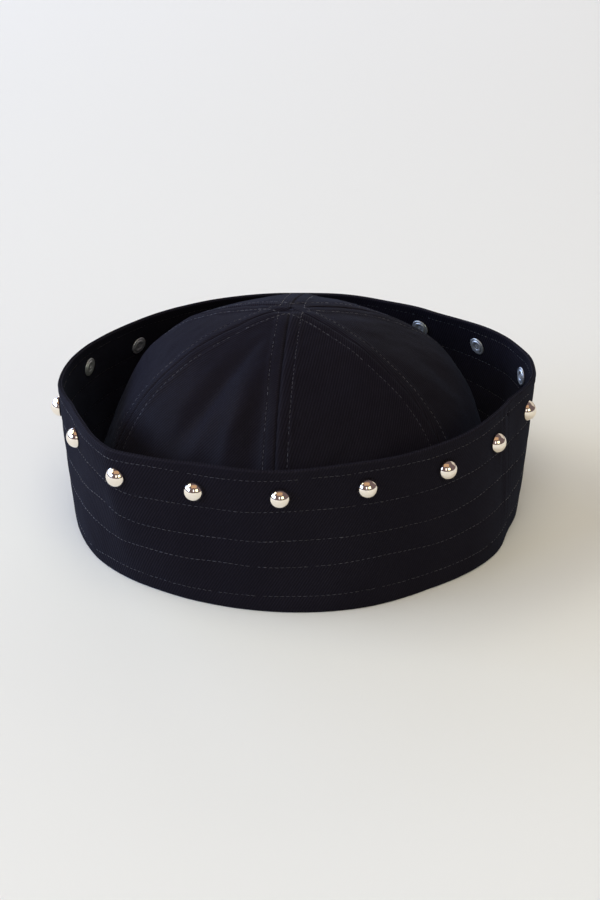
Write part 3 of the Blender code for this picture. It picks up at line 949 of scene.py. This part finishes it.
def one_stitch():
    """A dash of thread, one unit long and as thick. Its corners and its triangles, as arrays."""
    shape = bmesh.new()
    bmesh.ops.create_uvsphere(shape, u_segments=6, v_segments=5, radius=0.5)
    bmesh.ops.rotate(shape, verts=shape.verts, matrix=Matrix.Rotation(math.pi / 2, 3, "Y"))
    bmesh.ops.triangulate(shape, faces=shape.faces)
    corners = np.array([vertex.co for vertex in shape.verts])
    faces = np.array([[vertex.index for vertex in face.verts] for face in shape.faces])
    shape.free()
    return corners, faces


STITCH_CORNERS, STITCH_FACES = one_stitch()
grey_thread = thread_finish("grey_thread", GREY_DARK, GREY_PALE)
shade_painted_thread = thread_finish("shade_painted_thread", SHADE_PAINTED_DARK, SHADE_PAINTED_PALE)

# %% Sewing
STITCH_PITCH = 2.35 * MM
STITCH_LENGTHS = (0.74, 0.92)  # shares of the pitch
THREAD_WIDTH = 0.27 * MM
THREAD_WIDTHS = (0.75, 1.1)
STITCH_TURN = 0.07
STITCH_LIFT, LIFT_CHANGE = 0.02 * MM, 0.05 * MM
STITCH_BEND = 1.1  # in thread widths
MISSING = 0.005


def sew(name, middles, along, outwards, seed, thread):
    """Sets one dash at each middle, along the row and facing outwards, all in one mesh."""
    chance = np.random.default_rng(seed)
    count = len(middles)
    kept = chance.random(count) > MISSING
    along, outwards = unit(along), unit(outwards)
    aside = np.cross(outwards, along)
    along = along + aside * chance.normal(0, STITCH_TURN, count)[:, None]
    length = STITCH_PITCH * chance.uniform(*STITCH_LENGTHS, count)
    thick = THREAD_WIDTH * chance.uniform(*THREAD_WIDTHS, count)
    lift = chance.normal(STITCH_LIFT, LIFT_CHANGE, count)
    x, y, z = (STITCH_CORNERS[:, axis][None, :, None] for axis in (0, 1, 2))
    bend = z - STITCH_BEND * x * x
    places = (
        (middles + outwards * lift[:, None])[:, None, :]
        + x * (along * length[:, None])[:, None, :]
        + y * (aside * thick[:, None])[:, None, :]
        + bend * (outwards * thick[:, None])[:, None, :]
    )[kept]
    shift = np.arange(len(places))[:, None, None] * len(STITCH_CORNERS)
    faces = (STITCH_FACES[None] + shift).reshape(-1, 3)
    mesh = bpy.data.meshes.new(name)
    mesh.from_pydata((places.reshape(-1, 3) + SHIFT).tolist(), [], faces.tolist())
    mesh.shade_smooth()
    show(mesh, thread)
    print(f"{name}: {len(places)} stitches, {len(faces)} triangles")


def sew_rows(part, rows, inside, seed):
    """Sews all rows of one side, with grey thread outside and, inside, the thread painted much darker as
    painted shade.
    """
    middles, along, normals = (np.concatenate(parts) for parts in zip(*rows))
    if inside:
        sew(f"{part}_stitches_inside", middles, along, -normals, seed + 1, shade_painted_thread)
    else:
        sew(f"{part}_stitches_outside", middles, along, normals, seed, grey_thread)


# %% [markdown]
# ## Rows of stitches
#
# A row needs three things at each stitch: its middle on the cloth, the way the row runs and the way the
# cloth faces. The last two come from points a small step away on either side, so they follow every ripple.
# On the crown the rows run beside the seams and stop where six of them would meet at the peak.

# %% Sew the brim
FIRST_STITCH, ROW_OFFSET = 0.3, 0.1  # in stitches
TURN_STEP = 0.2  # degrees


def brim_row(number, inside):
    """Middles, directions and normals of the stitches of one row around the brim."""
    count = int(BAND_LENGTH / STITCH_PITCH)
    place = (np.arange(count) + FIRST_STITCH + ROW_OFFSET * number) * BAND_LENGTH / count
    azimuth = np.interp(place, RING_LENGTHS, RING)
    up = row_height(number, azimuth)
    relief = brim_relief(azimuth, up, inside)
    depth = BRIM_WALL - relief if inside else relief
    along = wall_points(azimuth + TURN_STEP, up, depth) - wall_points(azimuth - TURN_STEP, up, depth)
    rise = wall_points(azimuth, up + MM, depth) - wall_points(azimuth, up - MM, depth)
    return wall_points(azimuth, up, depth), along, np.cross(along, rise)


for inside in (False, True):
    sew_rows("brim", [brim_row(number, inside) for number in range(len(ROW_HEIGHTS))], inside, seed=80)


# %% Sew the crown
SEWN_SHARES = (0.02, 0.999)
LINE_SAMPLES = 600
PEAK_CLEARANCE = 1.08  # where a row ends near the peak
HALF_GORE = math.radians(30)
LENGTH_STEP = 0.3 * MM
SIDE_STEP = 0.3  # degrees
SHARE_STEP = 0.002


def beside_seam(seam, side):
    """Azimuths, shares and radii of a line beside a seam, parallel to it."""
    shares = np.linspace(*SEWN_SHARES, LINE_SAMPLES)
    radius = np.interp(shares * (len(PROFILE) - 1), np.arange(len(PROFILE)), PROFILE[:, 0])
    kept = radius > STITCH_FROM_SEAM * PEAK_CLEARANCE
    shares, radius = shares[kept], radius[kept]
    azimuths = seam_azimuth(seam, shares) + side * np.degrees(np.arcsin(STITCH_FROM_SEAM / radius))
    return azimuths, shares, radius


def seam_row(seam, side, inside):
    """Middles, directions and normals of the stitches on one side of a seam."""
    azimuths, shares, radius = beside_seam(seam, side)
    turns = [np.abs(turn_from(seam_azimuth(other, shares), azimuths)) for other in range(len(SEAMS))]
    from_seam = np.radians(np.min(turns, axis=0)) * radius
    if inside:
        depths = CROWN_WALL - inner_relief(from_seam)
    else:
        depths = gore_relief(from_seam, radius * HALF_GORE, azimuths, shares)
    lengths = lengths_along(crown_points(azimuths, shares, depths))
    count = int(lengths[-1] / STITCH_PITCH)
    place = (np.arange(count) + 0.5) * lengths[-1] / count
    share, azimuth, depth = (np.interp(place, lengths, values) for values in (shares, azimuths, depths))
    ahead, behind = (
        crown_points(*(np.interp(place + way, lengths, values) for values in (azimuths, shares)), depth)
        for way in (LENGTH_STEP, -LENGTH_STEP)
    )
    across = crown_points(azimuth + SIDE_STEP, share, depth) - crown_points(azimuth - SIDE_STEP, share, depth)
    rise = crown_points(azimuth, share + SHARE_STEP, depth) - crown_points(azimuth, share - SHARE_STEP, depth)
    return crown_points(azimuth, share, depth), ahead - behind, np.cross(across, rise)


for inside in (False, True):
    rows = [seam_row(seam, side, inside) for seam in range(len(SEAMS)) for side in (-1, 1)]
    sew_rows("crown", rows, inside, seed=90)


# %% [markdown]
# ## The studs
#
# Each stud is a thin polished shell, nearly half a ball, whose edge turns in against the cloth. Its rivet
# goes through the brim into a stepped plate inside. Both are round, so each is one profile spun about its
# axis. The shell is a pale gold, and the rest of its look is the room that it mirrors. The plates are duller.

# %% The metals
GOLD, PALE_GOLD = (0.96, 0.87, 0.74, 1.0), (1.0, 0.93, 0.83, 1.0)
STEEL, PALE_STEEL = (0.50, 0.54, 0.60, 1.0), (0.84, 0.89, 0.96, 1.0)


def metal_finish(name, colours, size, detail, smoothest, rougher, metallic):
    """Metal whose colour and roughness vary a little together."""
    metal = Finish(name, Metallic=metallic)
    haze = metal.noise(metal.place(), size, detail)
    metal.set("Base Color", metal.mix(haze, *colours))
    metal.set("Roughness", smoothest + haze * rougher)
    return metal.material


METALS = (  # name, colours, size and detail of the haze, roughness and its change, metallic
    ("pale_gold_stud", (GOLD, PALE_GOLD), 1.4 * MM, 3.0, 0.03, 0.07, 1.0),
    ("grey_plate", (STEEL, PALE_STEEL), 1.1 * MM, 4.0, 0.34, 0.24, 0.85),
)
gold, plate = (metal_finish(*metal) for metal in METALS)

# %% The studs' profiles
STUD_RADIUS = 4.4 * MM
STUD_SKIRT = 0.6 * MM
STUD_CURVE = math.radians(80)  # how far round a ball the dome reaches
CAP_START = 0.985  # of that curve
CAP_RINGS = 20
LIP_HEIGHT = 0.4 * MM
LIP = (  # from the stud's radius out, and up from the cloth, in mm
    (-1.0, 0.4), (-0.7, 0.0), (-0.35, 0.0), (-0.1, 0.1), (0.0, 0.3), (0.0, 0.5),
)
PLATE = (  # radius and height in mm: a rolled edge, a raised ring and a sunk middle
    (0, 0), (3.8, 0), (4.1, 0.2), (4.1, 0.5), (3.85, 0.72), (3.3, 0.66), (3.0, 0.55), (2.8, 0.82),
    (2.5, 0.92), (1.8, 0.88), (1.6, 0.62), (1.0, 0.55), (0.8, 0.7), (0.45, 0.7), (0.32, 0.3), (0, 0.25),
)


def dome_section():
    """A thin turned-in lip, a short rounded skirt, and a cap cut from a larger ball."""
    ball = STUD_RADIUS / math.sin(STUD_CURVE)
    skirt = [(STUD_RADIUS + out * MM, height * MM) for out, height in LIP]
    cap = [
        (ball * math.sin(turn), STUD_SKIRT + ball * (math.cos(turn) - math.cos(STUD_CURVE)))
        for turn in np.linspace(STUD_CURVE * CAP_START, 0, CAP_RINGS)
    ]
    return [(0, LIP_HEIGHT), *skirt, *cap]


plate_section = [(radius * MM, height * MM) for radius, height in PLATE]

# %% Spin the studs and set them in the brim
PLATE_SINK = 0.1 * MM  # how far a plate is pressed into the cloth
STUD_TURN_STEP = 0.5  # degrees
STUD_RISE_STEP = 2 * MM


def spin_profile(name, section, sides):
    """Spins a line of radius and height about +Z and closes it at the axis."""
    shape = bmesh.new()
    corners = [shape.verts.new((radius, 0, height)) for radius, height in section]
    edges = [shape.edges.new(pair) for pair in zip(corners, corners[1:])]
    line = corners + edges
    bmesh.ops.spin(shape, geom=line, axis=(0, 0, 1), angle=2 * math.pi, steps=sides, use_merge=True)
    bmesh.ops.remove_doubles(shape, verts=shape.verts, dist=1e-6)
    bmesh.ops.recalc_face_normals(shape, faces=shape.faces)
    mesh = bpy.data.meshes.new(name)
    shape.to_mesh(mesh)
    shape.free()
    mesh.shade_smooth()
    mesh.set_sharp_from_angle(angle=math.radians(50))
    return mesh


def stud_place(azimuth, below_rim):
    """A matrix on the brim's outer face: Z leaves the wall and Y runs up the cloth."""
    up = BRIM_HEIGHT - below_rim
    along = brim_points(azimuth + STUD_TURN_STEP, up) - brim_points(azimuth - STUD_TURN_STEP, up)
    rise = brim_points(azimuth, up + STUD_RISE_STEP) - brim_points(azimuth, up - STUD_RISE_STEP)
    normal = Vector(np.cross(along, rise)).normalized()
    across = Vector(rise).cross(normal).normalized()
    turned = Matrix((across, normal.cross(across), normal)).transposed().to_4x4()
    return Matrix.Translation(Vector(brim_points(azimuth, up) + SHIFT)) @ turned


through_the_wall = Matrix.Translation((0, 0, PLATE_SINK - BRIM_WALL)) @ Matrix.Rotation(math.pi, 4, "X")
for number, (azimuth, below_rim) in enumerate(STUDS, start=1):
    place = stud_place(azimuth, below_rim)
    dome = spin_profile(f"stud_dome_{number:02d}", dome_section(), sides=48)
    dome.transform(place)
    show(dome, gold, replaced=f"stud_cap_{number:02d}")
    back = spin_profile(f"stud_plate_{number:02d}", plate_section, sides=40)
    back.transform(place @ through_the_wall)
    show(back, plate, replaced=f"stud_back_{number:02d}")
print(f"{len(STUDS)} studs, {len(dome.polygons)} faces each, and plates of {len(back.polygons)}")

# %% [markdown]
# ## Floor, light and camera
#
# The cap lies on a plain pale floor. Most light comes from a wide cool window on the left and soft panels
# overhead. Smaller lamps in front and behind are there for the studs, which mirror all but the ceiling, and a
# dim brownish world stands for the room's walls. A sun lamp would be simpler, but its shadow is too hard.

# %% Floor
FLOOR_SIZE = 16.0
FLOOR_PALE = (0.80, 0.80, 0.785, 1.0)

floor_mesh, *_ = flat_grid("floor", 1, 1)
floor_mesh.transform(Matrix.Scale(FLOOR_SIZE, 4))
floor_paint = Finish("pale_floor", Roughness=0.9)
floor_paint.set("Base Color", FLOOR_PALE)
floor_mesh.materials.append(floor_paint.material)
floor = bpy.data.objects.new("floor", floor_mesh)
bpy.context.scene.collection.objects.link(floor)

# %% Light
LOOK_FROM_MIDDLE = Vector((2.5, -11.6, 31.0)) * MM
LOOK_AT = Vector(SHIFT) + LOOK_FROM_MIDDLE
WINDOWS = (  # name, azimuth, elevation, distance, width, height, watts, colour, whether the studs mirror it
    ("left_window", -80, 22, 4.0, 4.4, 1.6, 138, (0.54, 0.69, 1.00), True),
    ("left_skylight", -100, 48, 4.0, 2.4, 1.4, 37, (1.00, 0.97, 0.74), True),
    ("ceiling", 0, 48, 5.0, 2.8, 2.8, 59, (0.98, 0.96, 0.88), False),
    ("ceiling_middle", 0, 80, 4.0, 2.6, 2.6, 29, (0.97, 1.00, 0.76), False),
    ("warm_lamp", 0, 66, 2.5, 2.4, 1.5, 4.5, (1.00, 0.60, 0.26), True),
    ("front_window", -4, 24, 2.4, 0.45, 0.9, 2.2, (1.00, 0.97, 0.95), True),
    ("front_right_window", 30, 24, 2.4, 1.0, 0.9, 7, (0.96, 1.00, 0.64), True),
    ("back_left_window", -128, 18, 3.0, 2.4, 1.2, 36, (0.50, 0.65, 1.00), True),
    ("back_window", 180, 18, 3.0, 2.0, 1.0, 17, (1.00, 0.98, 1.00), True),
    ("back_right_wall", 140, 25, 2.5, 2.6, 1.5, 6, (1.00, 0.98, 0.84), True),
)
ROOM_COLOUR = (0.15, 0.11, 0.115, 1.0)


def way_to(azimuth, elevation):
    """The direction from the cap to something at this azimuth and elevation."""
    rise = math.radians(elevation)
    return Vector(outward(azimuth)) * math.cos(rise) + Vector((0, 0, math.sin(rise)))


def add_window(name, azimuth, elevation, distance, width, height, watts, colour, mirrored):
    light = bpy.data.lights.new(name, "AREA")
    light.shape = "RECTANGLE"
    light.size = width
    light.size_y = height
    light.energy = watts
    light.color = colour
    lamp = bpy.data.objects.new(name, light)
    way = way_to(azimuth, elevation)
    lamp.location = LOOK_AT + way * distance
    lamp.rotation_euler = (-way).to_track_quat("-Z", "Y").to_euler()
    lamp.visible_glossy = mirrored
    bpy.context.scene.collection.objects.link(lamp)


for window in WINDOWS:
    add_window(*window)
world = bpy.data.worlds.new("room")
bpy.context.scene.world = world
world.use_nodes = True
room = world.node_tree.nodes["Background"]
room.inputs["Color"].default_value = ROOM_COLOUR
room.inputs["Strength"].default_value = 1.0
print(f"{len(WINDOWS)} windows and lamps")

# %% Camera
ELEVATION = 26
DISTANCE = 900 * MM
LENS = 82.56

lens = bpy.data.cameras.new("camera")
lens.lens = LENS
lens.sensor_width = 36
lens.clip_end = 20
camera = bpy.data.objects.new("camera", lens)
camera.location = LOOK_AT + way_to(0, ELEVATION) * DISTANCE
camera.rotation_euler = (math.pi / 2 - math.radians(ELEVATION), 0, 0)
bpy.context.scene.collection.objects.link(camera)
bpy.context.scene.camera = camera
bpy.context.scene.view_settings.view_transform = "Standard"
print("the camera stands at", list(camera.location))
